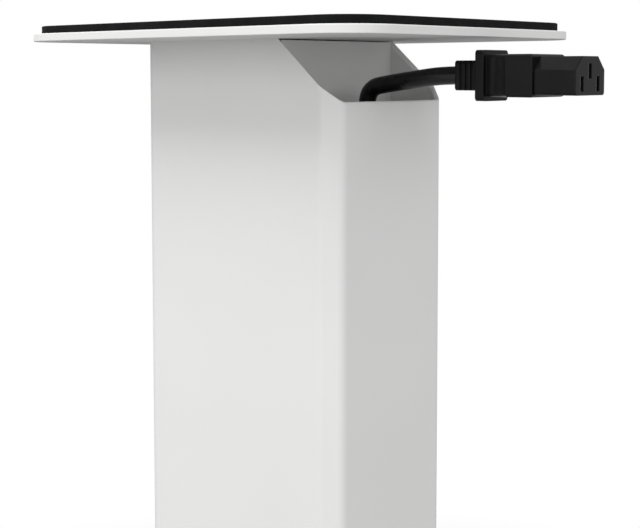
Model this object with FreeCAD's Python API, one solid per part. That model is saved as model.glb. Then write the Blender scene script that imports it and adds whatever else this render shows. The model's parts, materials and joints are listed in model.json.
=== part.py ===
import FreeCAD, Part
import math
import os

# Speaker stand: a steel column on a heavy base plate, with a padded top plate.
# The column's rear chamber is an open-topped duct for a mains lead, whose
# connector hangs out over the rim and whose spare length is coiled on the floor.
# Millimetres. Origin on the floor under the middle of both plates, +Z up, +Y to the rear.

# --- driving dimensions ---------------------------------------------------

# column, whose upright corners are bevelled and rounded off
column_length = 620.0
column_width = 86.5
column_depth = 146.8
column_setback = 0.7  # how far the column stands in front of the stand's axis
column_wall = 2.0
bevel_along_side = 9.6
bevel_along_face = 6.4
bevel_side_radius = 4.3
bevel_face_radius = 5.4

# cable duct in the rear of the column
duct_depth = 35.7
partition_thickness = 1.5
partition_flange = 15.0
partition_top_gap = 0.6
mouth_lead = 0.7  # how far in front of the partition's rear face the cut starts
mouth_rim_drop = 31.5
mouth_edge_chamfer = 1.6
outlet_width = 34.0
outlet_height = 28.0
outlet_corner_radius = 8.0
trim_thickness = 1.4
trim_lip = 2.2
trim_gap = 0.1

# top plate and pad
plate_width = 179.5
plate_depth = 253.5
plate_thickness = 4.25
plate_corner_radius = 27.0
plate_edge_radius = 0.5
pad_inset = 4.4
pad_thickness = 4.25
pad_edge_radius = 0.6

# base plate
base_width = 270.0
base_depth = 340.0
base_thickness = 10.0
base_corner_radius = 40.0
base_edge_radius = 0.9
ground_clearance = 14.0

# brackets welded inside the column's front chamber
bracket_weld_gap = 0.05
bracket_rear_gap = 0.3
top_bracket_thickness = 5.0
base_bracket_thickness = 6.0
screw_side_inset = 15.0
screw_front_inset = 18.0
screw_rear_inset = 14.0

# countersunk screws: shank radius, head radius, length, hexagon size across flats
top_screw_radius = 2.5
top_screw_head_radius = 4.7
top_screw_length = 10.0
top_screw_hex = 3.0
base_screw_radius = 3.0
base_screw_head_radius = 6.0
base_screw_length = 15.5
base_screw_hex = 4.0
socket_share = 0.62
screw_clearance = 0.05

# levelling feet
foot_inset = 30.0
foot_sole_radius = 15.0
foot_sole_thickness = 2.5
foot_sole_edge_radius = 0.8
glide_radius = 16.0
glide_neck_radius = 10.5
glide_skirt_height = 3.0
glide_height = 7.1
glide_floor = 1.2
glide_roof = 2.5
stud_radius = 4.0
stud_flange_radius = 6.3
stud_flange_clearance = 0.2
stud_fit = 0.08
stud_collar_across = 13.0
stud_collar_height = 3.0
stud_collar_gap = 0.3
stud_tip_gap = 0.4
insert_radius = 6.0
insert_flange_radius = 8.0
insert_flange_thickness = 0.8
insert_length = 8.8

# clips that hold the lead against the partition
clip_height = 12.0
clip_floor_width = 22.0
clip_floor_thickness = 1.6
clip_tape_thickness = 0.8
clip_arm_thickness = 2.2
clip_cord_gap = 0.15
clip_ear_height = 3.4
clip_running_gap = 0.2
clip_barrel_radius = 2.2
clip_pin_radius = 1.0
clip_pin_fit = 0.05
clip_latch_thickness = 2.0
clip_latch_gap = 0.3
clip_hook_depth = 2.4
lower_clip_height = 50.0
upper_clip_drop = 86.2

# mains lead
cord_diameter = 8.8
cord_offset_x = -4.0
cord_rest_gap = 0.5
riser_bend_radius = 22.0
riser_tail = 2.5
top_last_run = 12.0

# appliance connector, along its axis from the cord end
connector_turn = 2.3
relief_length = 14.0
relief_width = 13.4
relief_height = 14.2
relief_corner_radius = 1.6
relief_groove_width = 1.2
relief_groove_depth = 0.9
relief_groove_pitch = 3.1
relief_first_groove = 2.6
relief_groove_count = 3
flange_length = 4.6
flange_width = 20.6
flange_height = 23.8
flange_corner_radius = 1.8
body_length = 28.5
body_neck_width = 16.0
body_width = 27.9
body_height = 19.6
body_straight = 14.0
body_hollow_share = 0.3
body_edge_radius = 1.3
nose_length = 21.3
nose_width = 25.3
nose_height = 17.4
nose_chamfer_x = 5.7
nose_chamfer_z = 6.0
nose_edge_radius = 1.4
slot_width = 2.4
slot_height = 6.8
slot_depth = 13.0
slot_spacing = 13.9
slot_upper_z = 2.1
slot_lower_z = -3.6
contact_recess = 2.0
contact_clearance = 0.15
contact_wall = 0.4

# coil of spare lead on the floor behind the base
lead_last_run = 16.0
tail_reach = 52.0
tail_end_run = 17.0
coil_centre_x = 27.0
coil_centre_y = 262.0
coil_inner_radius = 36.0
coil_upper_turns = 2.25
coil_lower_turns = 2.5
coil_climb_turns = 0.5
coil_gap = 0.65
coil_floor_gap = 1.2
tie_width = 15.0
tie_thickness = 0.8
tie_gap = 0.25
tie_slack = 1.4
tie_corner_radius = 4.0
tie_inner_turn = 2.0

# mains plug at the end of the lead, lying on its side
plug_relief_length = 22.0
plug_relief_radius_small = 5.4
plug_relief_radius_large = 7.4
plug_relief_rings = 4
plug_ring_share = 0.65
plug_body_length = 34.0
plug_body_width = 26.0
plug_body_height = 23.0
plug_body_neck = 17.0
plug_body_corner_radius = 4.0
plug_floor_gap = 0.2
blade_length = 16.0
blade_width = 6.3
blade_thickness = 1.5
blade_spacing = 12.7
earth_pin_radius = 2.4
earth_pin_length = 18.5
earth_pin_offset = 11.9

# --- derived levels -------------------------------------------------------

Vector = FreeCAD.Vector
X_AXIS = Vector(1, 0, 0)
Y_AXIS = Vector(0, 1, 0)
Z_AXIS = Vector(0, 0, 1)
ORIGIN = Vector(0, 0, 0)
OVERCUT = 5.0
SHARP_CORNERS = 2

base_bottom = ground_clearance
base_top = base_bottom + base_thickness
column_top = base_top + column_length
plate_top = column_top + plate_thickness
rear_face_y = column_depth / 2 - column_setback
front_face_y = -column_depth / 2 - column_setback
rear_inner_y = rear_face_y - column_wall
front_inner_y = front_face_y + column_wall
side_inner_x = column_width / 2 - column_wall
partition_rear_y = rear_inner_y - duct_depth
partition_front_y = partition_rear_y - partition_thickness
mouth_start_y = partition_rear_y - mouth_lead
mouth_slope = mouth_rim_drop / (rear_face_y - mouth_start_y)
cord_radius = cord_diameter / 2
clip_cord_y = (
    partition_rear_y + clip_tape_thickness + clip_floor_thickness + clip_cord_gap + cord_radius
)
coil_pitch = cord_diameter + coil_gap
outlet_cord_y = rear_face_y + trim_thickness + riser_tail
outlet_cord_z = base_top + cord_radius + cord_rest_gap
lower_clip_z = base_top + lower_clip_height
upper_clip_z = column_top - upper_clip_drop
clip_bottoms = (lower_clip_z, upper_clip_z - clip_height)
foot_x = base_width / 2 - foot_inset
foot_y = base_depth / 2 - foot_inset
foot_places = {
    "front_left": (-foot_x, -foot_y),
    "front_right": (foot_x, -foot_y),
    "rear_left": (-foot_x, foot_y),
    "rear_right": (foot_x, foot_y),
}


# --- helpers --------------------------------------------------------------


def edges_along(shape, axis):
    """The straight edges of a shape that run parallel to an axis."""
    found = []
    for edge in shape.Edges:
        if isinstance(edge.Curve, Part.Line) and edge.Curve.Direction.cross(axis).Length < 1e-6:
            found.append(edge)
    return found


def edges_at_height(shape, z):
    """The edges of a shape that lie in the level plane at z."""
    found = []
    for edge in shape.Edges:
        box = edge.BoundBox
        if abs(box.ZMin - z) < 1e-6 and abs(box.ZMax - z) < 1e-6:
            found.append(edge)
    return found


def block(x_low, x_high, y_low, y_high, z_low, z_high):
    """A plain block between two corners."""
    corner = Vector(x_low, y_low, z_low)
    return Part.makeBox(x_high - x_low, y_high - y_low, z_high - z_low, corner)


def rounded_block(width, depth, z_low, height, radius, centre_y=0.0):
    """An upright block, centred in X, whose four upright edges are rounded."""
    low_y = centre_y - depth / 2
    solid = block(-width / 2, width / 2, low_y, low_y + depth, z_low, z_low + height)
    return solid.makeFillet(radius, edges_along(solid, Z_AXIS))


def cylinder(radius, height, x, y, z):
    """An upright cylinder."""
    return Part.makeCylinder(radius, height, Vector(x, y, z), Z_AXIS)


def hexagon(across, height, x, y, z):
    """An upright hexagonal prism, measured across its flats."""
    corner_radius = across / math.sqrt(3)
    points = []
    for step in range(7):
        angle = math.radians(60 * step)
        points.append(Vector(x + corner_radius * math.cos(angle), y + corner_radius * math.sin(angle), z))
    return Part.Face(Part.makePolygon(points)).extrude(Z_AXIS * height)


def turned(profile, x, y):
    """A solid turned about an upright axis from (radius, height) points."""
    points = [Vector(x + radius, y, height) for radius, height in profile]
    face = Part.Face(Part.makePolygon(points + points[:1]))
    return face.revolve(Vector(x, y, 0), Z_AXIS, 360)


def prism_along_y(outline, y_low, length):
    """A prism along Y from an outline of (x, z) points."""
    points = [Vector(x, y_low, z) for x, z in outline]
    return Part.Face(Part.makePolygon(points + points[:1])).extrude(Y_AXIS * length)


def countersunk_screw(radius, head_radius, length, across, x, y, z, direction):
    """A flat-headed screw whose head face is at z and whose shank points along direction (+1 or -1)."""
    head_height = head_radius - radius
    profile = [
        (0.0, z),
        (head_radius, z),
        (radius, z + direction * head_height),
        (radius, z + direction * length),
        (0.0, z + direction * length),
    ]
    screw = turned(profile, x, y)
    socket_depth = socket_share * head_radius
    socket_z = z if direction > 0 else z - socket_depth
    return screw.cut(hexagon(across, socket_depth, x, y, socket_z))


def countersunk_hole(radius, head_radius, length, x, y, z, direction):
    """The cutter for a screw of the same sizes, larger by the screw clearance."""
    hole_radius = radius + screw_clearance
    mouth_radius = head_radius + screw_clearance
    head_height = mouth_radius - hole_radius
    profile = [
        (0.0, z - direction * OVERCUT),
        (mouth_radius, z - direction * OVERCUT),
        (mouth_radius, z),
        (hole_radius, z + direction * head_height),
        (hole_radius, z + direction * length),
        (0.0, z + direction * length),
    ]
    return turned(profile, x, y)


def half_turn_angle(start, corner, end):
    """Half of the angle by which a route turns at a corner, in radians."""
    before = (corner - start).normalize()
    after = (end - corner).normalize()
    return before.getAngle(after) / 2


def arc_on_tangents(start, corner, end):
    """The arc from start to end that is tangent to the lines through corner."""
    middle = (start + end) / 2
    half_chord = (end - start).Length / 2
    rise = corner - middle
    tangent_angle = math.atan2(rise.Length, half_chord)
    top = middle + rise.normalize() * half_chord * math.tan(tangent_angle / 2)
    return Part.Arc(start, top, end).toShape()


def route_edges(points, name):
    """Straight runs joined by tangent arcs, each as large as 0.45 of its shorter run allows."""
    edges = []
    last = points[0]
    radii = []
    for before, corner, after in zip(points, points[1:], points[2:]):
        half_turn = half_turn_angle(before, corner, after)
        reach = 0.45 * min((corner - before).Length, (after - corner).Length)
        radii.append(reach / math.tan(half_turn))
        start = corner + (before - corner).normalize() * reach
        end = corner + (after - corner).normalize() * reach
        edges.append(Part.LineSegment(last, start).toShape())
        edges.append(arc_on_tangents(start, corner, end))
        last = end
    edges.append(Part.LineSegment(last, points[-1]).toShape())
    print(name, "bend radii:", [round(radius, 1) for radius in radii])
    return edges


def tube(edges, name):
    """A round cord along joined edges, with its volume set against section times length."""
    path = Part.Wire(edges)
    start = edges[0].Vertexes[0].Point
    heading = edges[0].tangentAt(edges[0].FirstParameter)
    circle = Part.Wire(Part.makeCircle(cord_radius, start, heading))
    solid = path.makePipeShell([circle], True, False)
    expected = math.pi * cord_radius**2 * path.Length
    print(name, "length", round(path.Length, 1), "volume over section times length",
          round(solid.Volume / expected, 4))
    return solid


def routed_tube(points, name):
    """A round cord along a route of corner points."""
    return tube(route_edges(points, name), name)


# --- top plate and pad ----------------------------------------------------


def screw_places():
    """Where the four screws go, at the top and at the base alike."""
    side = side_inner_x - screw_side_inset
    front = front_inner_y + screw_front_inset
    rear = partition_rear_y - partition_flange - bracket_rear_gap - screw_rear_inset
    return [(-side, front), (side, front), (-side, rear), (side, rear)]


def make_top_pad():
    width = plate_width - 2 * pad_inset
    depth = plate_depth - 2 * pad_inset
    pad = rounded_block(width, depth, plate_top, pad_thickness, plate_corner_radius - pad_inset)
    return pad.makeFillet(pad_edge_radius, edges_at_height(pad, plate_top + pad_thickness))


def make_top_plate():
    plate = rounded_block(plate_width, plate_depth, column_top, plate_thickness, plate_corner_radius)
    rims = edges_at_height(plate, plate_top) + edges_at_height(plate, column_top)
    plate = plate.makeFillet(plate_edge_radius, rims)
    for x, y in screw_places():
        depth = 2 * plate_thickness
        hole = countersunk_hole(top_screw_radius, top_screw_head_radius, depth, x, y, plate_top, -1)
        plate = plate.cut(hole)
    return plate


def make_top_screws():
    screws = []
    for x, y in screw_places():
        screws.append(
            countersunk_screw(
                top_screw_radius, top_screw_head_radius, top_screw_length, top_screw_hex,
                x, y, plate_top, -1,
            )
        )
    return Part.makeCompound(screws)


def make_bracket(z_low, thickness, hole_radius):
    """A plate that fills the front chamber, welded to its walls and tapped for the four screws."""
    rear = partition_rear_y - partition_flange - bracket_rear_gap
    bracket = column_prism(column_wall + bracket_weld_gap, z_low, thickness)
    bracket = bracket.cut(
        block(-column_width, column_width, rear, rear_face_y, z_low - OVERCUT, z_low + thickness + OVERCUT)
    )
    for x, y in screw_places():
        bracket = bracket.cut(cylinder(hole_radius, thickness + 2 * OVERCUT, x, y, z_low - OVERCUT))
    return bracket


# --- column ---------------------------------------------------------------


def mouth_height(y):
    """The height of the sloping cut at a distance y behind the column's axis."""
    return column_top - mouth_slope * (y - mouth_start_y)


def outlet_prism(grow, y_low, y_high):
    """The outline of the cable outlet, grown outwards by a margin, as a prism along Y."""
    half = outlet_width / 2 + grow
    opening = block(-half, half, y_low, y_high, base_top, base_top + outlet_height + grow)
    upper = [edge for edge in edges_along(opening, Y_AXIS) if edge.BoundBox.ZMin > base_top + 1]
    return opening.makeFillet(outlet_corner_radius + grow, upper)


def column_prism(inset, z_low, height):
    """A prism of the column's section, a rectangle with bevelled corners, inset by a margin."""
    side = column_width / 2
    face_x = side - bevel_along_face
    rear_y = rear_face_y - bevel_along_side
    front_y = front_face_y + bevel_along_side
    outline = [
        Vector(side, front_y, z_low),
        Vector(side, rear_y, z_low),
        Vector(face_x, rear_face_y, z_low),
        Vector(-face_x, rear_face_y, z_low),
        Vector(-side, rear_y, z_low),
        Vector(-side, front_y, z_low),
        Vector(-face_x, front_face_y, z_low),
        Vector(face_x, front_face_y, z_low),
    ]
    wire = Part.makePolygon(outline + outline[:1])
    if inset > 0:
        wire = wire.makeOffset2D(-inset, SHARP_CORNERS)
    prism = Part.Face(wire).extrude(Z_AXIS * height)
    on_sides = []
    for edge in edges_along(prism, Z_AXIS):
        if abs(abs(edge.BoundBox.XMin) - side + inset) < 1e-3:
            on_sides.append(edge)
    prism = prism.makeFillet(bevel_side_radius - inset, on_sides)
    on_faces = []
    for edge in edges_along(prism, Z_AXIS):
        box = edge.BoundBox
        if min(abs(box.YMin - rear_face_y + inset), abs(box.YMin - front_face_y - inset)) < 1e-3:
            on_faces.append(edge)
    return prism.makeFillet(bevel_face_radius - inset, on_faces)


def make_column():
    outside = column_prism(0.0, base_top, column_length)
    column = outside.cut(column_prism(column_wall, base_top, column_length))
    beyond = rear_face_y + OVERCUT
    wedge = [
        Vector(-column_width, mouth_start_y, column_top),
        Vector(-column_width, mouth_start_y, column_top + OVERCUT),
        Vector(-column_width, beyond, column_top + OVERCUT),
        Vector(-column_width, beyond, mouth_height(beyond)),
    ]
    cutter = Part.Face(Part.makePolygon(wedge + wedge[:1])).extrude(X_AXIS * 2 * column_width)
    column = column.cut(cutter)
    column = column.makeChamfer(mouth_edge_chamfer, mouth_inner_edges(column))
    return column.cut(outlet_prism(0.0, rear_inner_y - OVERCUT, rear_face_y + OVERCUT))


def mouth_inner_edges(column):
    """The inner edges of the sloping cut."""
    found = []
    for edge in column.Edges:
        box = edge.BoundBox
        middle = edge.valueAt((edge.FirstParameter + edge.LastParameter) / 2)
        on_cut = abs(middle.z - mouth_height(middle.y)) < 1e-3
        inside = max(abs(box.XMin), abs(box.XMax)) < side_inner_x + 1e-2 and box.YMax < rear_inner_y + 1e-2
        if on_cut and inside:
            found.append(edge)
    return found


def make_partition():
    """A folded panel whose web closes the duct and whose flanges lie along the side walls."""
    flange_front = partition_rear_y - partition_flange
    height = column_top - partition_top_gap
    outer = block(-side_inner_x, side_inner_x, flange_front, partition_rear_y, base_top, height)
    hollow_x = side_inner_x - partition_thickness
    hollow = block(-hollow_x, hollow_x, flange_front - OVERCUT, partition_front_y, base_top, height)
    return outer.cut(hollow)


def make_outlet_trim():
    """A rubber edge strip round the outlet: a web in the opening and a lip on each face of the wall."""
    beyond = trim_thickness + OVERCUT
    opening = outlet_prism(-trim_thickness, rear_inner_y - beyond, rear_face_y + beyond)
    web = outlet_prism(-trim_gap, rear_inner_y - trim_thickness, rear_face_y + trim_thickness)
    inner_lip = outlet_prism(trim_lip, rear_inner_y - trim_thickness, rear_inner_y)
    outer_lip = outlet_prism(trim_lip, rear_face_y, rear_face_y + trim_thickness)
    return web.fuse([inner_lip, outer_lip]).cut(opening).removeSplitter()


# --- base -----------------------------------------------------------------


def make_base_plate():
    plate = rounded_block(base_width, base_depth, base_bottom, base_thickness, base_corner_radius)
    rims = edges_at_height(plate, base_top) + edges_at_height(plate, base_bottom)
    plate = plate.makeFillet(base_edge_radius, rims)
    for x, y in screw_places():
        plate = plate.cut(
            countersunk_hole(
                base_screw_radius, base_screw_head_radius, 2 * base_thickness, x, y, base_bottom, 1
            )
        )
    for x, y in foot_places.values():
        plate = plate.cut(cylinder(insert_radius, insert_length + OVERCUT, x, y, base_bottom - OVERCUT))
    return plate


def make_base_screws():
    screws = []
    for x, y in screw_places():
        screws.append(
            countersunk_screw(
                base_screw_radius, base_screw_head_radius, base_screw_length, base_screw_hex,
                x, y, base_bottom, 1,
            )
        )
    return Part.makeCompound(screws)


def make_foot_inserts():
    """Threaded bushes pressed into blind holes in the base plate, one for each foot."""
    inserts = []
    for x, y in foot_places.values():
        bush = cylinder(insert_radius, insert_length, x, y, base_bottom)
        flange = cylinder(insert_flange_radius, insert_flange_thickness, x, y,
                          base_bottom - insert_flange_thickness)
        bore = cylinder(stud_radius + stud_fit, insert_length + OVERCUT, x, y,
                        base_bottom - OVERCUT + 2 * stud_fit)
        inserts.append(bush.fuse(flange).cut(bore).removeSplitter())
    return Part.makeCompound(inserts)


def make_foot_sole(x, y):
    sole = cylinder(foot_sole_radius, foot_sole_thickness, x, y, 0.0)
    return sole.makeFillet(foot_sole_edge_radius, edges_at_height(sole, 0.0))


def make_foot_glide(x, y):
    """A plastic cup that turns freely under the stud and carries the rubber sole."""
    bottom = foot_sole_thickness
    top = bottom + glide_height
    chamber_floor = bottom + glide_floor
    chamber_roof = top - glide_roof
    chamber_radius = stud_flange_radius + stud_flange_clearance
    neck_radius = stud_radius + stud_fit
    profile = [
        (0.0, bottom),
        (glide_radius, bottom),
        (glide_radius, bottom + glide_skirt_height),
        (glide_neck_radius, top),
        (neck_radius, top),
        (neck_radius, chamber_roof),
        (chamber_radius, chamber_roof),
        (chamber_radius, chamber_floor),
        (0.0, chamber_floor),
    ]
    return turned(profile, x, y)


def make_foot_stud(x, y):
    """A threaded stud with a hexagon collar, held in its glide by a flange."""
    flange_bottom = foot_sole_thickness + glide_floor + stud_flange_clearance
    flange_top = foot_sole_thickness + glide_height - glide_roof - stud_flange_clearance
    tip = base_bottom + insert_length - stud_tip_gap
    profile = [
        (0.0, flange_bottom),
        (stud_flange_radius, flange_bottom),
        (stud_flange_radius, flange_top),
        (stud_radius, flange_top),
        (stud_radius, tip),
        (0.0, tip),
    ]
    collar_top = base_bottom - insert_flange_thickness - stud_collar_gap
    collar = hexagon(stud_collar_across, stud_collar_height, x, y, collar_top - stud_collar_height)
    return turned(profile, x, y).fuse(collar)


# --- clips in the duct ----------------------------------------------------


def clip_pivot():
    """The latch's pivot in X and Y."""
    arm_outside = cord_radius + clip_cord_gap + clip_arm_thickness
    pivot_x = cord_offset_x - arm_outside - clip_running_gap - clip_barrel_radius
    pivot_y = clip_cord_y + cord_radius - clip_barrel_radius / 2
    return pivot_x, pivot_y


def make_clip_base(z):
    channel_radius = cord_radius + clip_cord_gap
    arm_outside = channel_radius + clip_arm_thickness
    floor_y = partition_rear_y + clip_tape_thickness
    arm_top = clip_cord_y + channel_radius
    left = cord_offset_x - clip_floor_width / 2
    floor = block(left, left + clip_floor_width, floor_y, floor_y + clip_floor_thickness,
                  z, z + clip_height)
    cradle = block(cord_offset_x - arm_outside, cord_offset_x + arm_outside, floor_y, arm_top,
                   z, z + clip_height)
    channel = cylinder(channel_radius, clip_height, cord_offset_x, clip_cord_y, z)
    mouth = block(cord_offset_x - channel_radius, cord_offset_x + channel_radius,
                  clip_cord_y, arm_top + OVERCUT, z, z + clip_height)
    clip = floor.fuse(cradle).cut(channel).cut(mouth)
    pivot_x, pivot_y = clip_pivot()
    for ear_z in (z, z + clip_height - clip_ear_height):
        ear = cylinder(clip_barrel_radius, clip_ear_height, pivot_x, pivot_y, ear_z)
        web = block(pivot_x, cord_offset_x - channel_radius, pivot_y - clip_barrel_radius, pivot_y,
                    ear_z, ear_z + clip_ear_height)
        clip = clip.fuse(ear).fuse(web)
    clip = clip.cut(cylinder(channel_radius, clip_height, cord_offset_x, clip_cord_y, z))
    clip = clip.cut(cylinder(clip_pin_radius + clip_pin_fit, clip_height, pivot_x, pivot_y, z))
    return clip.removeSplitter()


def make_clip_latch(z):
    pivot_x, pivot_y = clip_pivot()
    arm_outside = cord_radius + clip_cord_gap + clip_arm_thickness
    arm_top = clip_cord_y + cord_radius + clip_cord_gap
    low = z + clip_ear_height + clip_running_gap
    height = clip_height - 2 * (clip_ear_height + clip_running_gap)
    latch_y = arm_top + clip_latch_gap
    hook_x = cord_offset_x + arm_outside + clip_latch_gap
    barrel = cylinder(clip_barrel_radius, height, pivot_x, pivot_y, low)
    high = low + height
    hook_end = hook_x + clip_latch_thickness
    strap_top = latch_y + clip_latch_thickness
    strap = block(pivot_x, hook_end, latch_y, strap_top, low, high)
    root = block(pivot_x - clip_barrel_radius, pivot_x, pivot_y, strap_top, low, high)
    hook = block(hook_x, hook_end, latch_y - clip_hook_depth, latch_y, low, high)
    bore = cylinder(clip_pin_radius + clip_pin_fit, height, pivot_x, pivot_y, low)
    return barrel.fuse([strap, root, hook]).cut(bore).removeSplitter()


def make_clip_pins():
    pivot_x, pivot_y = clip_pivot()
    pins = [cylinder(clip_pin_radius, clip_height, pivot_x, pivot_y, z) for z in clip_bottoms]
    return Part.makeCompound(pins)


def make_clip_tapes():
    left = cord_offset_x - clip_floor_width / 2
    tapes = []
    for z in clip_bottoms:
        tapes.append(
            block(left, left + clip_floor_width, partition_rear_y, partition_rear_y + clip_tape_thickness,
                  z, z + clip_height)
        )
    return Part.makeCompound(tapes)


# --- mains lead -----------------------------------------------------------


def make_cord_riser():
    """The stretch that the duct and its clips hold, from the outlet up to the upper clip."""
    start = Vector(cord_offset_x, outlet_cord_y, outlet_cord_z)
    bend_start = Vector(cord_offset_x, clip_cord_y + riser_bend_radius, outlet_cord_z)
    corner = Vector(cord_offset_x, clip_cord_y, outlet_cord_z)
    bend_end = Vector(cord_offset_x, clip_cord_y, outlet_cord_z + riser_bend_radius)
    end = Vector(cord_offset_x, clip_cord_y, upper_clip_z)
    edges = [
        Part.LineSegment(start, bend_start).toShape(),
        arc_on_tangents(bend_start, corner, bend_end),
        Part.LineSegment(bend_end, end).toShape(),
    ]
    return tube(edges, "cord_riser")


def connector_axis():
    angle = math.radians(connector_turn)
    return Vector(-math.sin(angle), math.cos(angle), 0)


connector_start = Vector(-3.8, 112.8, column_top - 18.1)

# the top stretch rises from the upper clip, bends over the rim and meets the connector in line
top_route = [
    Vector(cord_offset_x, clip_cord_y, upper_clip_z),
    Vector(cord_offset_x, clip_cord_y, upper_clip_z + 15.7),
    Vector(-4.0, 51.3, column_top - 40.7),
    Vector(-4.2, 51.3, column_top - 24.6),
    Vector(-4.2, 68.0, column_top - 22.0),
    Vector(-3.8, 84.0, column_top - 20.0),
    connector_start - connector_axis() * top_last_run,
    connector_start,
]

# the lead humps over the base plate's rear edge, with one point on each side of it
lead_route = [
    Vector(cord_offset_x, outlet_cord_y, outlet_cord_z),
    Vector(cord_offset_x, 99.0, outlet_cord_z),
    Vector(-8.8, 124.0, 32.0),
    Vector(-14.8, 150.0, 38.4),
    Vector(-21.0, 178.0, 38.4),
    Vector(-26.0, 203.0, 28.8),
    Vector(-28.6, 221.0, 19.4),
]


def biarc(start, start_heading, end, end_heading):
    """Two arcs that leave start and reach end along the given headings."""
    span = end - start
    both = start_heading + end_heading
    spread = 2 * (1 - start_heading.dot(end_heading))
    along = span.dot(both)
    reach = (-along + math.sqrt(along**2 + spread * span.dot(span))) / spread
    first_corner = start + start_heading * reach
    second_corner = end - end_heading * reach
    joint = (first_corner + second_corner) / 2
    return [arc_on_tangents(start, first_corner, joint), arc_on_tangents(joint, second_corner, end)]


def coil_radius(turns):
    """How far from its centre the coil's line lies, after a number of turns from its upper end."""
    if turns < coil_upper_turns:
        return coil_inner_radius + coil_pitch * (coil_upper_turns - turns)
    below = turns - coil_upper_turns - coil_climb_turns
    if below > 0:
        return coil_inner_radius + coil_pitch * below
    dip = coil_pitch * coil_climb_turns / math.pi
    return coil_inner_radius - dip * math.sin(-math.pi * below / coil_climb_turns)


def coil_height(turns):
    """The height of the coil's line: the upper layer, the climb between layers, the lower layer."""
    low = coil_floor_gap + cord_radius
    share = (turns - coil_upper_turns) / coil_climb_turns
    share = min(1.0, max(0.0, share))
    return low + coil_pitch * (1 + math.cos(math.pi * share)) / 2


def coil_point(turns):
    """A point of the coil's line. It starts on the side away from +X and winds clockwise."""
    angle = math.pi - 2 * math.pi * turns
    radius = coil_radius(turns)
    return Vector(
        coil_centre_x + radius * math.cos(angle),
        coil_centre_y + radius * math.sin(angle),
        coil_height(turns),
    )


def coil_heading(turns):
    step = 1e-4
    return (coil_point(turns + step) - coil_point(turns - step)).normalize()


coil_turns = coil_upper_turns + coil_climb_turns + coil_lower_turns


def lead_end():
    """The last run of the lead, level and in line with the coil's first straight."""
    arrival = coil_point(0) - Y_AXIS * cord_diameter
    return [arrival - Y_AXIS * lead_last_run, arrival]


def make_cord_coil():
    quarters = round(4 * coil_turns)
    edges = []
    headings = [coil_heading(quarter / 4) for quarter in range(quarters + 1)]
    headings[0] = Vector(0, 1, 0)
    headings[-1] = Vector(1, 0, 0)
    first = coil_point(0)
    edges.append(Part.LineSegment(first - headings[0] * cord_diameter, first).toShape())
    for quarter in range(quarters):
        edges += biarc(
            coil_point(quarter / 4), headings[quarter], coil_point((quarter + 1) / 4), headings[quarter + 1]
        )
    last = coil_point(coil_turns)
    edges.append(Part.LineSegment(last, last + headings[-1] * cord_diameter).toShape())
    print("cord_coil least gap to itself", round(least_gap(edges), 2))
    return tube(edges, "cord_coil")


def least_gap(edges):
    """The least clear distance between stretches of the coil that are not neighbours along it."""
    samples = []
    travelled = 0.0
    for edge in edges:
        count = max(2, int(edge.Length / 3))
        for step in range(count):
            parameter = edge.FirstParameter + (edge.LastParameter - edge.FirstParameter) * step / count
            samples.append((travelled + edge.Length * step / count, edge.valueAt(parameter)))
        travelled += edge.Length
    least = 1e9
    for index, (place, point) in enumerate(samples):
        for other_place, other in samples[index + 1:]:
            if other_place - place > 6 * cord_diameter:
                least = min(least, point.distanceToPoint(other))
    return least - cord_diameter


def make_cord_tie():
    """A hook-and-loop strap round the coil's bundle of turns, where the turns of both layers line up."""
    inner = coil_radius(tie_inner_turn) - cord_radius - tie_slack
    outer = coil_radius(0.0) + cord_radius + tie_gap
    low = coil_floor_gap - tie_gap
    high = coil_floor_gap + cord_diameter + coil_pitch + tie_gap
    inside = block(-outer, -inner, -tie_width / 2, tie_width / 2, low, high)
    outside = block(
        -outer - tie_thickness, tie_thickness - inner, -tie_width / 2, tie_width / 2,
        low - tie_thickness, high + tie_thickness,
    )
    inside = inside.makeFillet(tie_corner_radius, edges_along(inside, Y_AXIS))
    outside = outside.makeFillet(tie_corner_radius + tie_thickness, edges_along(outside, Y_AXIS))
    strap = outside.cut(inside)
    strap.translate(Vector(coil_centre_x, coil_centre_y, 0))
    return strap


plug_axis_z = plug_body_height / 2 + plug_floor_gap
coil_end = coil_point(coil_turns) + X_AXIS * cord_diameter
plug_start = Vector(coil_end.x + tail_reach, coil_end.y + 1.0, plug_axis_z)

tail_route = [
    coil_end,
    Vector(coil_end.x + tail_end_run, coil_end.y, coil_end.z),
    Vector(plug_start.x - tail_end_run, plug_start.y, plug_axis_z),
    plug_start,
]


# --- appliance connector --------------------------------------------------


def place_connector(shape):
    """Moves a piece of the connector, made along +Y from the origin, to its place on the lead."""
    shape.rotate(ORIGIN, Z_AXIS, connector_turn)
    shape.translate(connector_start)
    return shape


def bar_along_y(width, height, y_low, length, radius):
    """A bar along Y, centred on it, whose four long edges are rounded."""
    bar = block(-width / 2, width / 2, y_low, y_low + length, -height / 2, height / 2)
    return bar.makeFillet(radius, edges_along(bar, Y_AXIS))


def make_connector_relief():
    relief = bar_along_y(relief_width, relief_height, 0.0, relief_length, relief_corner_radius)
    core_width = relief_width - 2 * relief_groove_depth
    core_height = relief_height - 2 * relief_groove_depth
    core_radius = relief_corner_radius - relief_groove_depth
    core = bar_along_y(core_width, core_height, 0.0, relief_length, core_radius)
    for groove in range(relief_groove_count):
        start = relief_first_groove + groove * relief_groove_pitch
        ring = block(-relief_width, relief_width, start, start + relief_groove_width,
                     -relief_height, relief_height)
        relief = relief.cut(ring.cut(core))
    return place_connector(relief)


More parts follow.
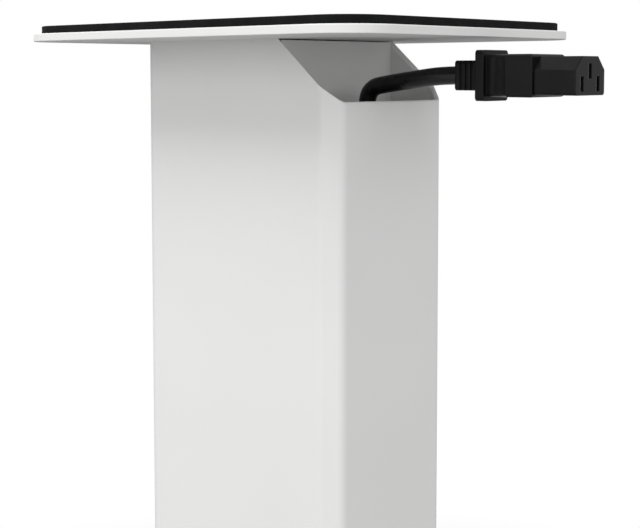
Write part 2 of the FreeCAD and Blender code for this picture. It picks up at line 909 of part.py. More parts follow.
def make_connector_body():
    """The overmoulded grip: a flange, then a body that widens from its neck in a hollow curve."""
    flange = bar_along_y(flange_width, flange_height, relief_length, flange_length, flange_corner_radius)
    neck_y = relief_length + flange_length
    end_y = neck_y + body_length
    straight_y = end_y - body_straight
    neck = body_neck_width / 2
    half = body_width / 2
    bend_y = (neck_y + straight_y) / 2
    bend_x = neck + body_hollow_share * (half - neck)
    low = -body_height / 2
    right_curve = Part.Arc(
        Vector(neck, neck_y, low), Vector(bend_x, bend_y, low), Vector(half, straight_y, low)
    )
    left_curve = Part.Arc(
        Vector(-half, straight_y, low), Vector(-bend_x, bend_y, low), Vector(-neck, neck_y, low)
    )
    outline = Part.Wire([
        right_curve.toShape(),
        Part.LineSegment(Vector(half, straight_y, low), Vector(half, end_y, low)).toShape(),
        Part.LineSegment(Vector(half, end_y, low), Vector(-half, end_y, low)).toShape(),
        Part.LineSegment(Vector(-half, end_y, low), Vector(-half, straight_y, low)).toShape(),
        left_curve.toShape(),
        Part.LineSegment(Vector(-neck, neck_y, low), Vector(neck, neck_y, low)).toShape(),
    ])
    body = Part.Face(outline).extrude(Z_AXIS * body_height)
    rims = []
    for edge in edges_at_height(body, low) + edges_at_height(body, -low):
        if edge.BoundBox.YMax > neck_y + 1:
            rims.append(edge)
    body = body.makeFillet(body_edge_radius, rims)
    return place_connector(flange.fuse(body).removeSplitter())


def slot_places():
    """The three slots of the nose in X and Z: earth above, line and neutral below."""
    half = slot_spacing / 2
    return [(0.0, slot_upper_z), (half, slot_lower_z), (-half, slot_lower_z)]


def make_connector_nose():
    start = relief_length + flange_length + body_length
    half_x = nose_width / 2
    half_z = nose_height / 2
    outline = [
        (-half_x, -half_z),
        (half_x, -half_z),
        (half_x, half_z - nose_chamfer_z),
        (half_x - nose_chamfer_x, half_z),
        (nose_chamfer_x - half_x, half_z),
        (-half_x, half_z - nose_chamfer_z),
    ]
    nose = prism_along_y(outline, start, nose_length)
    lower = [edge for edge in edges_along(nose, Y_AXIS) if edge.BoundBox.ZMax < 1 - half_z]
    nose = nose.makeFillet(nose_edge_radius, lower)
    end = start + nose_length
    for x, z in slot_places():
        nose = nose.cut(
            block(x - slot_width / 2, x + slot_width / 2, end - slot_depth, end + OVERCUT,
                  z - slot_height / 2, z + slot_height / 2)
        )
    return place_connector(nose)


def make_connector_contacts():
    """Folded metal sockets set back inside the three slots."""
    end = relief_length + flange_length + body_length + nose_length
    front = end - contact_recess
    rear = end - slot_depth
    contacts = []
    for x, z in slot_places():
        half_x = slot_width / 2 - contact_clearance
        half_z = slot_height / 2 - contact_clearance
        sleeve = block(x - half_x, x + half_x, rear, front, z - half_z, z + half_z)
        bore = block(
            x - half_x + contact_wall, x + half_x - contact_wall, rear + contact_wall, front + OVERCUT,
            z - half_z + contact_wall, z + half_z - contact_wall,
        )
        contacts.append(sleeve.cut(bore))
    return place_connector(Part.makeCompound(contacts))


# --- mains plug -----------------------------------------------------------


def place_plug(shape):
    """Moves a piece of the plug, made along +X from the origin, to the end of the lead."""
    shape.translate(plug_start)
    return shape


def make_plug_relief():
    """A ribbed taper: rings of growing radius on a slimmer cone."""
    step = plug_relief_length / plug_relief_rings
    profile = [(0.0, 0.0)]
    for ring in range(plug_relief_rings):
        share = ring / (plug_relief_rings - 1)
        radius = plug_relief_radius_small + share * (plug_relief_radius_large - plug_relief_radius_small)
        profile.append((radius, ring * step))
        profile.append((radius, (ring + plug_ring_share) * step))
        if ring < plug_relief_rings - 1:
            profile.append((radius - relief_groove_depth, (ring + plug_ring_share) * step))
            profile.append((radius - relief_groove_depth, (ring + 1) * step))
    profile[-1] = (plug_relief_radius_large, plug_relief_length)
    profile.append((0.0, plug_relief_length))
    relief = turned(profile, 0.0, 0.0)
    relief.rotate(ORIGIN, Y_AXIS, 90)
    return place_plug(relief)


def make_plug_body():
    """A moulded grip that widens from the strain relief to the pin face."""
    half_y = plug_body_width / 2
    half_z = plug_body_height / 2
    neck = plug_body_neck / 2
    start = plug_relief_length
    middle = start + plug_body_length / 2
    end = start + plug_body_length
    outline = [
        Vector(start, -neck, -half_z),
        Vector(middle, -half_y, -half_z),
        Vector(end, -half_y, -half_z),
        Vector(end, half_y, -half_z),
        Vector(middle, half_y, -half_z),
        Vector(start, neck, -half_z),
    ]
    body = Part.Face(Part.makePolygon(outline + outline[:1])).extrude(Z_AXIS * plug_body_height)
    slope = half_z - neck
    for side in (-1, 1):
        wedge = [
            Vector(start - OVERCUT, -plug_body_width, side * neck),
            Vector(start, -plug_body_width, side * neck),
            Vector(middle, -plug_body_width, side * (neck + slope)),
            Vector(middle, -plug_body_width, side * (half_z + OVERCUT)),
            Vector(start - OVERCUT, -plug_body_width, side * (half_z + OVERCUT)),
        ]
        wedge_face = Part.Face(Part.makePolygon(wedge + wedge[:1]))
        body = body.cut(wedge_face.extrude(Y_AXIS * 2 * plug_body_width))
    long_edges = [edge for edge in edges_along(body, X_AXIS) if edge.Length > 1]
    return place_plug(body.makeFillet(plug_body_corner_radius, long_edges))


def make_plug_pins():
    """Two flat blades and a round earth pin."""
    face = plug_relief_length + plug_body_length
    pin_centre_y = -earth_pin_offset / 2
    pins = []
    for side in (-1, 1):
        z = side * blade_spacing / 2
        pins.append(
            block(face, face + blade_length, pin_centre_y - blade_width / 2, pin_centre_y + blade_width / 2,
                  z - blade_thickness / 2, z + blade_thickness / 2)
        )
    earth_y = pin_centre_y + earth_pin_offset
    earth = Part.makeCylinder(earth_pin_radius, earth_pin_length, Vector(face, earth_y, 0), X_AXIS)
    tip = face + earth_pin_length
    rim = [edge for edge in earth.Edges if abs(edge.BoundBox.XMin - tip) < 1e-6]
    earth = earth.makeChamfer(earth_pin_radius / 3, rim)
    pins.append(earth)
    return place_plug(Part.makeCompound(pins))


# --- write the nodes ------------------------------------------------------


def make_nodes():
    """Every sub-part of the stand, by name."""
    nodes = {
        "top_pad": make_top_pad(),
        "top_plate": make_top_plate(),
        "top_plate_screws": make_top_screws(),
        "top_bracket": make_bracket(
            column_top - top_bracket_thickness, top_bracket_thickness, top_screw_radius + screw_clearance
        ),
        "column": make_column(),
        "duct_partition": make_partition(),
        "outlet_trim": make_outlet_trim(),
        "base_bracket": make_bracket(
            base_top, base_bracket_thickness, base_screw_radius + screw_clearance
        ),
        "base_plate": make_base_plate(),
        "base_screws": make_base_screws(),
        "foot_inserts": make_foot_inserts(),
        "cord_clip_lower": make_clip_base(clip_bottoms[0]),
        "cord_clip_upper": make_clip_base(clip_bottoms[1]),
        "cord_clip_lower_latch": make_clip_latch(clip_bottoms[0]),
        "cord_clip_upper_latch": make_clip_latch(clip_bottoms[1]),
        "cord_clip_pins": make_clip_pins(),
        "cord_clip_tapes": make_clip_tapes(),
        "cord_riser": make_cord_riser(),
        "cord_top": routed_tube(top_route, "cord_top"),
        "connector_relief": make_connector_relief(),
        "connector_body": make_connector_body(),
        "connector_nose": make_connector_nose(),
        "connector_contacts": make_connector_contacts(),
        "cord_lead": routed_tube(lead_route + lead_end(), "cord_lead"),
        "cord_coil": make_cord_coil(),
        "cord_tie": make_cord_tie(),
        "cord_tail": routed_tube(tail_route, "cord_tail"),
        "plug_relief": make_plug_relief(),
        "plug_body": make_plug_body(),
        "plug_pins": make_plug_pins(),
    }
    for corner, (x, y) in foot_places.items():
        nodes["foot_sole_" + corner] = make_foot_sole(x, y)
        nodes["foot_glide_" + corner] = make_foot_glide(x, y)
        nodes["foot_stud_" + corner] = make_foot_stud(x, y)
    return nodes


os.makedirs("parts", exist_ok=True)
for name, shape in make_nodes().items():
    assert shape.isValid(), name
    shape.exportStep(os.path.join("parts", name + ".step"))
    print(name, len(shape.Solids), round(shape.Volume, 1))
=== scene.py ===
import json
import math

import bmesh
import bpy
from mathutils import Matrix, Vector


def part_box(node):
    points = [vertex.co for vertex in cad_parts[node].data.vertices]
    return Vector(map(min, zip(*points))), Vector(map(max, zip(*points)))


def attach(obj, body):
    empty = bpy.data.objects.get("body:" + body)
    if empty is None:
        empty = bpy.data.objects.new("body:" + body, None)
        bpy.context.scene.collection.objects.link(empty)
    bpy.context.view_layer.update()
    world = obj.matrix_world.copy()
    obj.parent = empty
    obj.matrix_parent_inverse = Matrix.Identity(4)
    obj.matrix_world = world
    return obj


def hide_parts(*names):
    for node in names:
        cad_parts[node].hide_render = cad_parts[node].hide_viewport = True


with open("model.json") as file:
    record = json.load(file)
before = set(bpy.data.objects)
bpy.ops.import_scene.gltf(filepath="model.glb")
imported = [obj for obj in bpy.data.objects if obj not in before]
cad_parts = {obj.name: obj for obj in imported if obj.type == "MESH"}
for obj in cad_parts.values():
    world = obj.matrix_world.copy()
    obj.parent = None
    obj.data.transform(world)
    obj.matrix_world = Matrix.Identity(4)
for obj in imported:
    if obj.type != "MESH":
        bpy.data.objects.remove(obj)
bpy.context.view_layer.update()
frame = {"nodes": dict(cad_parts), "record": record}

scene = bpy.context.scene
nodes = frame["nodes"]
UNDER_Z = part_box("top_plate")[0][2]


def link(obj):
    scene.collection.objects.link(obj)
    return obj


# --- camera: the photograph's three-quarter view from the rear ---------------------

camera_data = bpy.data.cameras.new("camera")
camera = link(bpy.data.objects.new("camera", camera_data))
camera.location = (0.48154, 0.48531, UNDER_Z - 0.01599)
camera.rotation_euler = (math.radians(85.819), 0.0, math.radians(133.619))
camera_data.sensor_width = 36.0
camera_data.lens = 71.44
camera_data.shift_x = -0.01055
camera_data.shift_y = -0.1565
camera_data.clip_start = 0.01
camera_data.clip_end = 50.0
scene.camera = camera

# --- materials -----------------------------------------------------------------------

# the ranges that most of a noise texture's values fall in, the second one harder in contrast
NOISE_RANGE = (0.3, 0.7)
NOISE_CORE = (0.35, 0.65)
FULL_RANGE = (0.0, 1.0)
BEVEL_SAMPLES = 8


class Shader:
    """A material's node tree with short calls for the nodes used here."""

    def __init__(self, name):
        self.material = bpy.data.materials.new(name)
        self.material.use_nodes = True
        self.tree = self.material.node_tree
        self.bsdf = self.tree.nodes["Principled BSDF"]
        self.place = self.tree.nodes.new("ShaderNodeTexCoord").outputs["Object"]

    def join(self, source, target):
        self.tree.links.new(source, target)

    def noise(self, scale, detail, roughness=0.5, vector=None):
        node = self.tree.nodes.new("ShaderNodeTexNoise")
        node.inputs["Scale"].default_value = scale
        node.inputs["Detail"].default_value = detail
        node.inputs["Roughness"].default_value = roughness
        self.join(vector or self.place, node.inputs["Vector"])
        return node.outputs["Fac"]

    def voronoi(self, scale):
        node = self.tree.nodes.new("ShaderNodeTexVoronoi")
        node.inputs["Scale"].default_value = scale
        self.join(self.place, node.inputs["Vector"])
        return node.outputs["Distance"]

    def wave(self, scale, direction):
        node = self.tree.nodes.new("ShaderNodeTexWave")
        node.bands_direction = direction
        node.inputs["Scale"].default_value = scale
        self.join(self.place, node.inputs["Vector"])
        return node.outputs["Fac"]

    def stretched(self, scale):
        node = self.tree.nodes.new("ShaderNodeMapping")
        node.inputs["Scale"].default_value = scale
        self.join(self.place, node.inputs["Vector"])
        return node.outputs["Vector"]

    def ramp(self, value, source, target=FULL_RANGE):
        """A value's source range spread over the target range."""
        node = self.tree.nodes.new("ShaderNodeMapRange")
        for end, limit in zip(("From Min", "From Max", "To Min", "To Max"), (*source, *target)):
            node.inputs[end].default_value = limit
        self.join(value, node.inputs["Value"])
        return node.outputs["Result"]

    def math(self, operation, first, second):
        node = self.tree.nodes.new("ShaderNodeMath")
        node.operation = operation
        for socket, value in zip(node.inputs, (first, second)):
            if isinstance(value, float):
                socket.default_value = value
            else:
                self.join(value, socket)
        return node.outputs["Value"]

    def weighted(self, first, first_weight, second, second_weight):
        """The weighted sum of two heights."""
        first = self.math("MULTIPLY", first, first_weight)
        second = self.math("MULTIPLY", second, second_weight)
        return self.math("ADD", first, second)

    def mix(self, share, first, second):
        """Two colours mixed. The Mix node's colour sockets are its inputs 6 and 7 and output 2."""
        node = self.tree.nodes.new("ShaderNodeMix")
        node.data_type = "RGBA"
        node.inputs[6].default_value = (*first, 1.0)
        node.inputs[7].default_value = (*second, 1.0)
        self.join(share, node.inputs[0])
        return node.outputs[2]

    def bump(self, height, distance, strength, normal=None):
        node = self.tree.nodes.new("ShaderNodeBump")
        node.inputs["Strength"].default_value = strength
        node.inputs["Distance"].default_value = distance
        self.join(height, node.inputs["Height"])
        if normal is not None:
            self.join(normal, node.inputs["Normal"])
        return node.outputs["Normal"]

    def edge_round(self, radius):
        node = self.tree.nodes.new("ShaderNodeBevel")
        node.samples = BEVEL_SAMPLES
        node.inputs["Radius"].default_value = radius
        return node.outputs["Normal"]

    def finish(self, color, roughness, normal, **constants):
        """Join the colour, roughness and normal, and set the shader's other sockets."""
        self.join(color, self.bsdf.inputs["Base Color"])
        self.join(roughness, self.bsdf.inputs["Roughness"])
        self.join(normal, self.bsdf.inputs["Normal"])
        for name, value in constants.items():
            self.bsdf.inputs[name.replace("_", " ")].default_value = value
        return self.material


def powder_coat(name, dark, light):
    """A satin powder coat: faint orange peel, a finer grain and slow changes of tone."""
    s = Shader(name)
    tone = s.ramp(s.noise(scale=6.0, detail=2.0), NOISE_CORE)
    peel = s.noise(scale=900.0, detail=2.0, roughness=0.4)
    grain = s.noise(scale=4200.0, detail=2.0)
    normal = s.bump(peel, distance=0.00005, strength=0.35)
    normal = s.bump(grain, distance=0.00002, strength=0.25, normal=normal)
    roughness = s.ramp(s.noise(scale=60.0, detail=3.0), NOISE_RANGE, (0.68, 0.78))
    return s.finish(s.mix(tone, dark, light), roughness, normal, Specular_IOR_Level=0.05)


def moulded(
    name, dark, light, rough=(0.42, 0.56), grain_scale=2600.0, grain_depth=0.00004, level=0.2,
    edge_radius=None,
):
    """Moulded plastic or rubber with a spark-eroded grain, its edges softened by a radius."""
    s = Shader(name)
    rounded = s.edge_round(edge_radius) if edge_radius else None
    coarse = s.voronoi(grain_scale)
    fine = s.noise(scale=1.8 * grain_scale, detail=2.0)
    grain = s.weighted(coarse, 0.6, fine, 0.4)
    tone = s.ramp(s.noise(scale=40.0, detail=3.0), NOISE_CORE)
    roughness = s.ramp(s.noise(scale=220.0, detail=3.0), NOISE_RANGE, rough)
    normal = s.bump(grain, grain_depth, strength=0.5, normal=rounded)
    return s.finish(s.mix(tone, dark, light), roughness, normal, Specular_IOR_Level=level)


def foam(name, dark, light):
    """Closed-cell foam rubber: fine open pores over a soft mottling."""
    s = Shader(name)
    pits = s.ramp(s.voronoi(scale=1900.0), (0.05, 0.45))
    mottle = s.noise(scale=320.0, detail=4.0, roughness=0.6)
    tone = s.ramp(s.noise(scale=90.0, detail=4.0), NOISE_RANGE)
    normal = s.bump(s.weighted(pits, 0.7, mottle, 0.5), distance=0.00012, strength=0.6)
    roughness = s.ramp(mottle, NOISE_RANGE, (0.72, 0.88))
    return s.finish(s.mix(tone, dark, light), roughness, normal, Specular_IOR_Level=0.07)


def metal(name, dark, light, rough, stretch=(40.0, 40.0, 1200.0)):
    """Turned or drawn metal with fine directional marks."""
    s = Shader(name)
    marks = s.noise(scale=1.0, detail=4.0, roughness=0.6, vector=s.stretched(stretch))
    tone = s.ramp(s.noise(scale=50.0, detail=3.0), NOISE_RANGE)
    roughness = s.ramp(marks, NOISE_RANGE, rough)
    normal = s.bump(marks, distance=0.00002, strength=0.4)
    return s.finish(s.mix(tone, dark, light), roughness, normal, Metallic=1.0)


def woven(name, dark, light):
    """A close woven webbing."""
    s = Shader(name)
    warp = s.wave(scale=240.0, direction="Y")
    weft = s.wave(scale=240.0, direction="X")
    fuzz = s.noise(scale=1500.0, detail=3.0)
    height = s.weighted(s.math("MAXIMUM", warp, weft), 0.7, fuzz, 0.5)
    tone = s.ramp(fuzz, NOISE_RANGE)
    roughness = s.ramp(fuzz, FULL_RANGE, (0.75, 0.95))
    normal = s.bump(height, distance=0.0002, strength=0.7)
    return s.finish(s.mix(tone, dark, light), roughness, normal, Sheen_Weight=0.3)


# each slot's kind of surface, its darker and lighter tone, and what differs from its kind
FINISHES = {
    "pad_black": (foam, (0.0055, 0.0055, 0.006), (0.009, 0.009, 0.0096), {}),
    "paint_white": (powder_coat, (0.815, 0.815, 0.81), (0.845, 0.845, 0.84), {}),
    "screw_steel": (metal, (0.50, 0.50, 0.51), (0.62, 0.62, 0.63), {"rough": (0.25, 0.4)}),
    "bracket_steel": (
        metal, (0.40, 0.40, 0.41), (0.50, 0.50, 0.51),
        {"rough": (0.4, 0.55), "stretch": (1200.0, 40.0, 40.0)},
    ),
    "trim_rubber": (
        moulded, (0.008, 0.008, 0.008), (0.013, 0.013, 0.013), {"rough": (0.6, 0.75)},
    ),
    "insert_brass": (metal, (0.60, 0.44, 0.20), (0.74, 0.58, 0.30), {"rough": (0.22, 0.36)}),
    "clip_plastic": (moulded, (0.010, 0.010, 0.0105), (0.016, 0.016, 0.0165), {}),
    "pin_steel": (metal, (0.58, 0.58, 0.58), (0.70, 0.70, 0.70), {"rough": (0.18, 0.3)}),
    "tape_foam": (foam, (0.62, 0.62, 0.60), (0.72, 0.72, 0.70), {}),
    "cord_black": (
        moulded, (0.0048, 0.0048, 0.0052), (0.0068, 0.0068, 0.0072),
        {"rough": (0.26, 0.34), "grain_scale": 1400.0, "grain_depth": 0.00003, "level": 0.28},
    ),
    "connector_black": (
        moulded, (0.0080, 0.0080, 0.0085), (0.0105, 0.0105, 0.0110),
        {"rough": (0.16, 0.24), "level": 0.08, "edge_radius": 0.0009},
    ),
    "contact_brass": (metal, (0.62, 0.52, 0.34), (0.78, 0.70, 0.52), {"rough": (0.2, 0.32)}),
    "tie_fabric": (woven, (0.012, 0.012, 0.014), (0.03, 0.03, 0.034), {}),
    "sole_rubber": (
        moulded, (0.011, 0.011, 0.011), (0.017, 0.017, 0.017), {"rough": (0.7, 0.85)},
    ),
    "glide_plastic": (moulded, (0.011, 0.011, 0.0115), (0.017, 0.017, 0.0175), {}),
    "stud_steel": (metal, (0.52, 0.52, 0.53), (0.64, 0.64, 0.65), {"rough": (0.25, 0.4)}),
}
materials = {
    slot: surface(slot, dark, light, **options)
    for slot, (surface, dark, light, options) in FINISHES.items()
}
slot_of = {part["node"]: part["material_slot"] for part in frame["record"]["subparts"]}
for name, obj in nodes.items():
    obj.data.materials.clear()
    obj.data.materials.append(materials[slot_of[name]])

# --- shapes ------------------------------------------------------------------------------


def mesh_piece(name, slot, faces_from):
    """A smooth-shaded mesh object made by a function that fills a bmesh."""
    bm = bmesh.new()
    faces_from(bm)
    bmesh.ops.recalc_face_normals(bm, faces=bm.faces)
    for face in bm.faces:
        face.smooth = True
    mesh = bpy.data.meshes.new(name)
    bm.to_mesh(mesh)
    bm.free()
    mesh.materials.append(materials[slot])
    piece = link(bpy.data.objects.new(name, mesh))
    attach(piece, "stand")
    return piece


def rounded_outline(half_x, half_y, radius, corner_steps, side_steps):
    """Points round a rectangle with rounded corners, counter-clockwise from the -Y side's end."""
    corners = ((1, -1), (1, 1), (-1, 1), (-1, -1))
    straight_x = half_x - radius
    straight_y = half_y - radius
    points = []
    for turn, (sign_x, sign_y) in enumerate(corners):
        for step in range(corner_steps + 1):
            angle = math.pi / 2 * (turn - 1 + step / corner_steps)
            x = sign_x * straight_x + radius * math.cos(angle)
            y = sign_y * straight_y + radius * math.sin(angle)
            points.append((x, y))
        next_x, next_y = corners[(turn + 1) % len(corners)]
        angle = math.pi / 2 * turn
        end_x = next_x * straight_x + radius * math.cos(angle)
        end_y = next_y * straight_y + radius * math.sin(angle)
        for step in range(1, side_steps):
            share = step / side_steps
            points.append((x + (end_x - x) * share, y + (end_y - y) * share))
    return points


def bridge(bm, rings):
    """Quads between rings of vertices, with a face over each end."""
    for lower, upper in zip(rings, rings[1:]):
        count = len(lower)
        for index in range(count):
            after = (index + 1) % count
            bm.faces.new((lower[index], lower[after], upper[after], upper[index]))
    bm.faces.new(list(reversed(rings[0])))
    bm.faces.new(rings[-1])


# --- the mains lead, from the upper clip to the connector --------------------------------

CORD_DIAMETER = 0.0088
CORD_RADIUS = CORD_DIAMETER / 2
CORD_SLOT = "cord_black"


def cord_piece(name, points, *replaced):
    """A round cord on one smooth open spline whose control points are the points, in metres."""
    curve = bpy.data.curves.new(name, "CURVE")
    curve.dimensions = "3D"
    curve.resolution_u = 10
    curve.bevel_depth = CORD_RADIUS
    curve.bevel_resolution = 8
    curve.use_fill_caps = True
    spline = curve.splines.new("NURBS")
    spline.points.add(len(points) - 1)
    for place, point in zip(spline.points, points):
        place.co = (*point, 1.0)
    spline.order_u = 3
    spline.use_endpoint_u = True
    curve.materials.append(materials[CORD_SLOT])
    piece = link(bpy.data.objects.new(name, curve))
    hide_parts(*replaced)
    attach(piece, "stand")
    return piece


CLIP_TOP_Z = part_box("cord_clip_upper")[1][2]
TOP_EXIT = (-0.0040, 0.04195, CLIP_TOP_Z)
top_points = [
    TOP_EXIT,
    (-0.0040, 0.04195, CLIP_TOP_Z + 0.0157),
    (-0.0040, 0.0513, UNDER_Z - 0.0407),
    (-0.0042, 0.0513, UNDER_Z - 0.0246),
    (-0.0042, 0.0680, UNDER_Z - 0.0220),
    (-0.0038, 0.0840, UNDER_Z - 0.0200),
    (-0.0033, 0.1008, UNDER_Z - 0.0181),
    (-0.0038, 0.1128, UNDER_Z - 0.0181),
]
lead_top = cord_piece("lead_top", top_points, "cord_top")

# --- the strap round the coil: one turn, and the overlap of its hook side ----------------

TIE_LOW, TIE_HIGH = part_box("cord_tie")
STRAP_THICKNESS = 0.0008
STRAP_EDGE = 0.0002
STRAP_CORNER_RADIUS = 0.004
STRAP_CORNER_STEPS = 8
STRAP_SIDE_STEPS = 12
# in turns round the coil: where the strap starts, its length, and where its overlap lifts off
STRAP_START = 0.30
STRAP_TURNS = 1.28
STRAP_LIFT_FROM = 0.85
STRAP_CLEARANCE = 0.00012
tie_centre = [(low + high) / 2 for low, high in zip(TIE_LOW, TIE_HIGH)]
tie_half = [(high - low) / 2 for low, high in zip(TIE_LOW, TIE_HIGH)]


def strap_path():
    """Points and outward directions along the strap in X and Z, with the overlap lifted."""
    inner = rounded_outline(
        tie_half[0] - STRAP_THICKNESS,
        tie_half[2] - STRAP_THICKNESS,
        STRAP_CORNER_RADIUS,
        STRAP_CORNER_STEPS,
        STRAP_SIDE_STEPS,
    )
    count = len(inner)
    start = round(count * STRAP_START)
    path = []
    for step in range(round(count * STRAP_TURNS) + 1):
        index = (start + step) % count
        before, after = inner[index - 1], inner[(index + 1) % count]
        along = Vector((after[0] - before[0], after[1] - before[1])).normalized()
        outward = Vector((along.y, -along.x))
        share = (step / count - STRAP_LIFT_FROM) / (1.0 - STRAP_LIFT_FROM)
        share = min(1.0, max(0.0, share))
        lift = share * share * (3 - 2 * share) * (STRAP_THICKNESS + STRAP_CLEARANCE)
        path.append((Vector(inner[index]) + outward * lift, outward))
    return path


def strap_faces(bm):
    """The strap's section, with its edges cut off at an angle, along its path."""
    half = tie_half[1]
    inset = half - STRAP_EDGE
    edge_top = STRAP_THICKNESS - STRAP_EDGE
    section = [
        (-half, STRAP_EDGE), (-inset, 0.0), (inset, 0.0), (half, STRAP_EDGE),
        (half, edge_top), (inset, STRAP_THICKNESS), (-inset, STRAP_THICKNESS), (-half, edge_top),
    ]
    rings = []
    for place, outward in strap_path():
        ring = []
        for y, height in section:
            spot = place + outward * height
            corner = (tie_centre[0] + spot.x, tie_centre[1] + y, tie_centre[2] + spot.y)
            ring.append(bm.verts.new(corner))
        rings.append(ring)
    bridge(bm, rings)


strap = mesh_piece("coil_strap", "tie_fabric", strap_faces)
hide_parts("cord_tie")

# --- the mains lead, from the outlet through the coil to the plug ------------------------

COIL_X = 0.027
COIL_Y = 0.262
COIL_INNER = 0.036
COIL_PITCH = 0.00945
FLOOR_GAP = 0.0012
COIL_LOW = FLOOR_GAP + CORD_RADIUS
UPPER_TURNS = 2.25
CLIMB_TURNS = 0.5
LOWER_TURNS = 2.5
POINTS_PER_TURN = 16
# a spline of order 3 runs this power of the cosine of half a step inside its control points
SPLINE_INSET_POWER = 1.5
COIL_TO_ENTRY = 0.0248
COIL_TO_TAIL = 0.0258
TAIL_TO_PLUG = 0.0170


def coil_point(turns):
    """A point of the coil, some turns from its upper end, clockwise from the side away from +X.

    The upper layer winds inward, steps down in its innermost half turn, and the lower layer
    winds outward.
    """
    below = turns - UPPER_TURNS - CLIMB_TURNS
    if turns < UPPER_TURNS:
        radius = COIL_INNER + COIL_PITCH * (UPPER_TURNS - turns)
    elif below > 0:
        radius = COIL_INNER + COIL_PITCH * below
    else:
        dip = math.sin(-math.pi * below / CLIMB_TURNS)
        radius = COIL_INNER - COIL_PITCH * CLIMB_TURNS / math.pi * dip
    radius /= math.cos(math.pi / POINTS_PER_TURN) ** SPLINE_INSET_POWER
    angle = math.pi - 2 * math.pi * turns
    share = min(1.0, max(0.0, (turns - UPPER_TURNS) / CLIMB_TURNS))
    height = COIL_LOW + COIL_PITCH * (1 + math.cos(math.pi * share)) / 2
    return (COIL_X + radius * math.cos(angle), COIL_Y + radius * math.sin(angle), height)


OUTLET_EXIT = (-0.0040, 0.0766, 0.0289)
coil_steps = round(POINTS_PER_TURN * (UPPER_TURNS + CLIMB_TURNS + LOWER_TURNS))
coil_points = [coil_point(step / POINTS_PER_TURN) for step in range(coil_steps + 1)]
first_x, first_y, first_z = coil_points[0]
last_x, last_y, last_z = coil_points[-1]
plug_low, plug_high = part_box("plug_relief")
plug_x = plug_low[0]
plug_y = (plug_low[1] + plug_high[1]) / 2
plug_z = (plug_low[2] + plug_high[2]) / 2
free_points = [
    OUTLET_EXIT,
    (-0.0040, 0.0990, 0.0289),
    (-0.0088, 0.1240, 0.0320),
    (-0.0148, 0.1500, 0.0384),
    (-0.0210, 0.1780, 0.0384),
    (-0.0260, 0.2030, 0.0288),
    (-0.0286, 0.2210, 0.0194),
    (first_x, first_y - COIL_TO_ENTRY, first_z),
    (first_x, first_y - CORD_DIAMETER, first_z),
    *coil_points,
    (last_x + CORD_DIAMETER, last_y, last_z),
    (last_x + COIL_TO_TAIL, last_y, last_z),
    (plug_x - TAIL_TO_PLUG, plug_y, plug_z),
    (plug_x, plug_y, plug_z),
]
lead_free = cord_piece("lead_free", free_points, "cord_lead", "cord_coil", "cord_tail")

# --- the pad on the top plate --------------------------------------------------------------

PAD_LOW, PAD_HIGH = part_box("top_pad")
PAD_RADIUS = 0.0226
PAD_CORNER_STEPS = 14
PAD_SIDE_STEPS = 24
# how far each ring lies inside the outline, and its share of the pad's thickness
PAD_PROFILE = (
    (0.00060, 0.0), (0.00018, 0.03), (0.0, 0.12), (0.00004, 0.5), (0.0, 0.86), (0.00014, 0.94),
    (0.0005, 0.985), (0.0014, 0.997), (0.004, 1.0), (0.012, 1.0),
)


def pad_faces(bm):
    """Rings of the pad's profile, one above the other, and its flat top and underside."""
    half_x = (PAD_HIGH[0] - PAD_LOW[0]) / 2
    half_y = (PAD_HIGH[1] - PAD_LOW[1]) / 2
    thickness = PAD_HIGH[2] - PAD_LOW[2]
    rings = []
    for inset, share in PAD_PROFILE:
        outline = rounded_outline(
            half_x - inset, half_y - inset, PAD_RADIUS - inset, PAD_CORNER_STEPS, PAD_SIDE_STEPS
        )
        height = PAD_LOW[2] + share * thickness
        rings.append([bm.verts.new((x, y, height)) for x, y in outline])
    bridge(bm, rings)


pad = mesh_piece("pad", "pad_black", pad_faces)
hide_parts("top_pad")

# --- floor, backdrop and light -----------------------------------------------------------

WHITE = (1.0, 1.0, 1.0, 1.0)
FLOOR_COLOR = (0.23, 0.23, 0.23, 1.0)
FLOOR_ROUGHNESS = 0.9
FLOOR_HALF_SIZE = 6.0
# the floor that the camera sees fades to white between these distances from the stand
FADE_FROM, FADE_TO = 0.35, 1.1
NEAR_WHITE = 0.5
BACKDROP_STRENGTH = 1.0
AMBIENT_STRENGTH = 0.55


def joined(tree, kind, operation, *sources):
    """A node of a kind that works on the given outputs, and its own first output."""
    node = tree.nodes.new(kind)
    if operation:
        node.operation = operation
    for source, socket in zip(sources, node.inputs):
        tree.links.new(source, socket)
    return node.outputs[0]


def lit_shader(tree, kind, strength):
    """A white shader of a strength."""
    node = tree.nodes.new(kind)
    node.inputs["Color"].default_value = WHITE
    node.inputs["Strength"].default_value = strength
    return node.outputs[0]


floor_mesh = bpy.data.meshes.new("floor")
floor_bm = bmesh.new()
bmesh.ops.create_grid(floor_bm, x_segments=1, y_segments=1, size=FLOOR_HALF_SIZE)
floor_bm.to_mesh(floor_mesh)
floor_bm.free()
floor = link(bpy.data.objects.new("floor", floor_mesh))

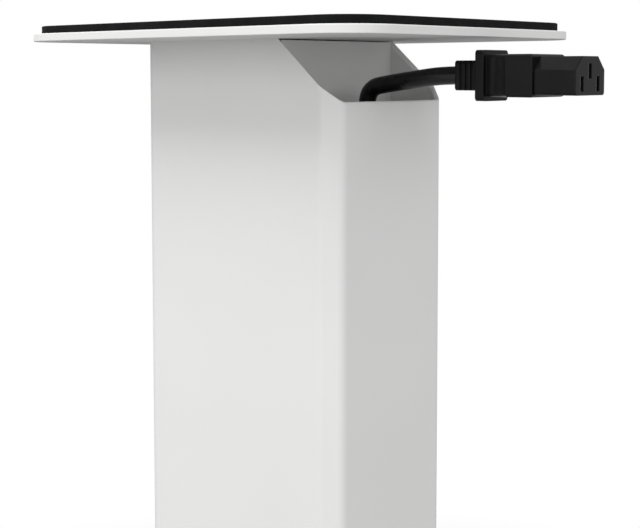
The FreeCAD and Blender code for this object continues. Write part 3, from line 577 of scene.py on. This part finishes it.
floor_shader = Shader("floor")
tree = floor_shader.tree
floor_bsdf = floor_shader.bsdf
floor_bsdf.inputs["Base Color"].default_value = FLOOR_COLOR
floor_bsdf.inputs["Roughness"].default_value = FLOOR_ROUGHNESS
glow = lit_shader(tree, "ShaderNodeEmission", BACKDROP_STRENGTH)
path = tree.nodes.new("ShaderNodeLightPath").outputs
seen = joined(tree, "ShaderNodeMath", "MAXIMUM", path["Is Camera Ray"], path["Is Glossy Ray"])
length_node = tree.nodes.new("ShaderNodeVectorMath")
length_node.operation = "LENGTH"
tree.links.new(floor_shader.place, length_node.inputs[0])
distance = length_node.outputs["Value"]
fade = floor_shader.ramp(distance, (FADE_FROM, FADE_TO), (NEAR_WHITE, 1.0))
share = joined(tree, "ShaderNodeMath", "MULTIPLY", seen, fade)
surface = joined(tree, "ShaderNodeMixShader", None, share, floor_bsdf.outputs[0], glow)
tree.links.new(surface, tree.nodes["Material Output"].inputs["Surface"])
floor_mesh.materials.append(floor_shader.material)

world = bpy.data.worlds.new("studio")
scene.world = world
world.use_nodes = True
tree = world.node_tree
tree.nodes.clear()
output = tree.nodes.new("ShaderNodeOutputWorld")
backdrop = lit_shader(tree, "ShaderNodeBackground", BACKDROP_STRENGTH)
ambient = lit_shader(tree, "ShaderNodeBackground", AMBIENT_STRENGTH)
path = tree.nodes.new("ShaderNodeLightPath").outputs
seen = joined(tree, "ShaderNodeMath", "MAXIMUM", path["Is Camera Ray"], path["Is Glossy Ray"])
seen = joined(tree, "ShaderNodeMath", "MAXIMUM", seen, path["Is Transmission Ray"])
surface = joined(tree, "ShaderNodeMixShader", None, seen, ambient, backdrop)
tree.links.new(surface, output.inputs["Surface"])

LAMP_TARGET = (0.0, 0.0, 0.5)


def softbox(name, location, size, power):
    """A square area lamp aimed at the stand."""
    data = bpy.data.lights.new(name, "AREA")
    data.size = size
    data.energy = power
    lamp = link(bpy.data.objects.new(name, data))
    lamp.location = location
    aim = Vector(LAMP_TARGET) - Vector(location)
    lamp.rotation_euler = aim.to_track_quat("-Z", "Y").to_euler()
    lamp.visible_camera = False


softbox("high", location=(1.25, -0.3, 2.6), size=1.3, power=36.0)
softbox("side", location=(2.5, 0.0, 1.0), size=1.6, power=16.5)
softbox("rear", location=(0.0, 2.4, 1.15), size=2.0, power=19.5)

scene.view_settings.view_transform = "Standard"
